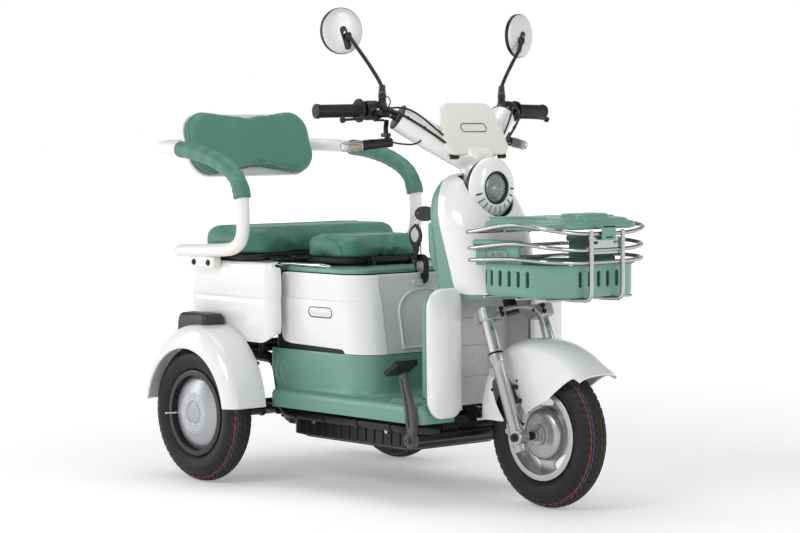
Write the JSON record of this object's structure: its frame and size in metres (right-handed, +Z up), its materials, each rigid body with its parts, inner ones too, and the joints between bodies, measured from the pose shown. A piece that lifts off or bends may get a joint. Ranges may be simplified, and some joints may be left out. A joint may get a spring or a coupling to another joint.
{
  "type": "adult tricycle",
  "caption": "Low-step adult tricycle with saddle and rear bench, armrest hoops, reclined backrest, telescopic fork, round headlight and a lidded front basket.",
  "frame": {"origin": "on the ground under the middle of the vehicle's length", "axes": "+X forwards, +Y to the rider's left, +Z up"},
  "size_m": [1.5, 0.82, 1.2629],
  "materials": {
    "white_cover": "glossy",
    "cream_cover": "glossy",
    "green_cover": "satin",
    "green_leather": "satin",
    "green_wrap": "satin",
    "white_tube": "glossy",
    "black_steel": "satin",
    "black_plastic": "satin",
    "grey_plastic": "satin",
    "grip_rubber": "matte",
    "tyre_rubber": "matte",
    "silver_paint": "satin",
    "cast_alloy": "satin",
    "chrome_steel": "polished",
    "clear_lens": "clear",
    "red_lens": "glossy",
    "orange_plastic": "glossy",
    "lime_plastic": "glossy"
  },
  "bodies": {
    "chassis": {"main_frame": "black_steel", "under_tray": "black_plastic", "floor_panel": "green_cover", "inner_shield": "green_cover", "seat_box": "white_cover", "seat_deck": "green_cover", "rear_body": "white_cover", "tail_lamps": "red_lens", "rear_fenders": "white_cover", "fender_caps": "grey_plastic", "leg_shield": "white_cover", "column_front_cover": "white_cover", "column_rear_cover": "green_cover", "headlight_housing": "grey_plastic", "headlight_lens": "clear_lens", "basket_tray": "green_cover", "basket_frame": "silver_paint", "armrest_frame": "white_tube", "armrest_sleeves": "green_wrap", "backrest_shell": "white_cover", "backrest_cushion": "green_leather", "ignition_lock": "black_steel"},
    "axle_unit": {"axle_carrier": "black_steel", "shock_springs": "chrome_steel"},
    "rear_wheel_left": {"rear_tyre_left": "tyre_rubber", "rear_rim_left": "silver_paint"},
    "rear_wheel_right": {"rear_tyre_right": "tyre_rubber", "rear_rim_right": "silver_paint"},
    "steering": {"steering_stem": "cast_alloy", "stem_cover": "white_cover", "cowl_plate": "cream_cover", "handlebar": "black_steel", "left_grip": "grip_rubber", "control_housings": "black_plastic", "indicators": "black_plastic", "indicator_lenses": "clear_lens", "fork_stanchions": "chrome_steel", "cables": "grip_rubber"},
    "throttle": {"throttle_grip": "grip_rubber"},
    "lever_left": {"brake_lever_left": "black_steel"},
    "lever_right": {"brake_lever_right": "black_steel"},
    "horn_press": {"horn_button": "orange_plastic"},
    "mode_press": {"mode_button": "orange_plastic"},
    "light_press": {"light_button": "lime_plastic"},
    "mirror_arm_left": {"mirror_stem_left": "black_steel"},
    "mirror_arm_right": {"mirror_stem_right": "black_steel"},
    "mirror_left": {"mirror_head_left": "silver_paint"},
    "mirror_right": {"mirror_head_right": "silver_paint"},
    "fork_slider": {"fork_lowers": "silver_paint", "front_fender": "white_cover", "front_axle": "black_steel"},
    "front_wheel": {"front_tyre": "tyre_rubber", "front_rim": "silver_paint"},
    "front_seat": {"front_seat_base": "black_plastic", "front_seat_cushion": "green_leather"},
    "rear_seat": {"rear_seat_base": "black_plastic", "rear_seat_cushion": "green_leather"},
    "lid": {"basket_lid": "green_cover"},
    "ignition_key": {"key": "chrome_steel"},
    "pedal": {"brake_pedal": "grey_plastic"}
  },
  "joints": [
    {"name": "steer", "type": "hinge", "parent": "chassis", "child": "steering", "pos_m": [0.408, 0, 0.49], "axis": [-0.3584, 0, 0.9336], "range_deg": [-24, 24]},
    {"name": "fork_travel", "type": "slide", "parent": "steering", "child": "fork_slider", "axis": [-0.3584, 0, 0.9336], "range_m": [0, 0.045], "stiffness_N_per_m": 9000, "springref_m": -0.08},
    {"name": "front_wheel_spin", "type": "hinge", "parent": "fork_slider", "child": "front_wheel", "pos_m": [0.539, 0, 0.187], "axis": [0, 1, 0], "continuous": true},
    {"name": "rear_suspension", "type": "hinge", "parent": "chassis", "child": "axle_unit", "pos_m": [-0.31, 0, 0.19], "axis": [0, 1, 0], "range_deg": [0, 12], "stiffness_Nm_per_rad": 900, "springref_deg": -14.32, "deforming": ["shock_springs"]},
    {"name": "rear_wheel_left_spin", "type": "hinge", "parent": "axle_unit", "child": "rear_wheel_left", "pos_m": [-0.44, 0.349, 0.187], "axis": [0, 1, 0], "continuous": true},
    {"name": "rear_wheel_right_spin", "type": "hinge", "parent": "axle_unit", "child": "rear_wheel_right", "pos_m": [-0.44, -0.349, 0.187], "axis": [0, 1, 0], "continuous": true},
    {"name": "throttle_twist", "type": "hinge", "parent": "steering", "child": "throttle", "pos_m": [0.134, -0.268, 1.002], "axis": [-0.1548, -0.9878, -0.0147], "range_deg": [0, 65], "stiffness_Nm_per_rad": 0.3, "springref_deg": -17.19},
    {"name": "lever_left_pull", "type": "hinge", "parent": "steering", "child": "lever_left", "pos_m": [0.166, 0.24, 0.984], "axis": [0, 0, 1], "range_deg": [0, 11], "stiffness_Nm_per_rad": 2, "springref_deg": -5.73},
    {"name": "lever_right_pull", "type": "hinge", "parent": "steering", "child": "lever_right", "pos_m": [0.166, -0.24, 0.984], "axis": [0, 0, -1], "range_deg": [0, 11], "stiffness_Nm_per_rad": 2, "springref_deg": -5.73},
    {"name": "horn_button_press", "type": "slide", "parent": "steering", "child": "horn_press", "axis": [0, 0, -1], "range_m": [0, 0.003], "stiffness_N_per_m": 300, "springref_m": -0.003},
    {"name": "mode_button_press", "type": "slide", "parent": "steering", "child": "mode_press", "axis": [0, 0, -1], "range_m": [0, 0.003], "stiffness_N_per_m": 300, "springref_m": -0.003},
    {"name": "light_button_press", "type": "slide", "parent": "steering", "child": "light_press", "axis": [1, 0, 0], "range_m": [0, 0.003], "stiffness_N_per_m": 300, "springref_m": -0.003},
    {"name": "mirror_left_swivel", "type": "hinge", "parent": "steering", "child": "mirror_arm_left", "pos_m": [0.149, 0.211, 1.03], "axis": [0, 0, 1], "range_deg": [-35, 35]},
    {"name": "mirror_right_swivel", "type": "hinge", "parent": "steering", "child": "mirror_arm_right", "pos_m": [0.149, -0.211, 1.03], "axis": [0, 0, 1], "range_deg": [-35, 35]},
    {"name": "mirror_left_tilt", "type": "hinge", "parent": "mirror_arm_left", "child": "mirror_left", "pos_m": [0.127, 0.306, 1.19], "axis": [0, 1, 0], "range_deg": [-12, 12]},
    {"name": "mirror_right_tilt", "type": "hinge", "parent": "mirror_arm_right", "child": "mirror_right", "pos_m": [0.127, -0.306, 1.19], "axis": [0, 1, 0], "range_deg": [-12, 12]},
    {"name": "front_seat_hinge", "type": "hinge", "parent": "chassis", "child": "front_seat", "pos_m": [-0.064, 0, 0.604], "axis": [0, 1, 0], "range_deg": [0, 80]},
    {"name": "rear_seat_hinge", "type": "hinge", "parent": "chassis", "child": "rear_seat", "pos_m": [-0.3, 0, 0.597], "axis": [0, 1, 0], "range_deg": [0, 32]},
    {"name": "lid_hinge", "type": "hinge", "parent": "chassis", "child": "lid", "pos_m": [0.424, 0, 0.712], "axis": [0, -1, 0], "range_deg": [0, 75]},
    {"name": "key_turn", "type": "hinge", "parent": "chassis", "child": "ignition_key", "pos_m": [0.168, 0, 0.735], "axis": [1, 0, 0], "range_deg": [0, 90]},
    {"name": "pedal_press", "type": "hinge", "parent": "chassis", "child": "pedal", "pos_m": [0.315, -0.265, 0.172], "axis": [0, 1, 0], "range_deg": [0, 7], "stiffness_Nm_per_rad": 20, "springref_deg": -5.73}
  ]
}
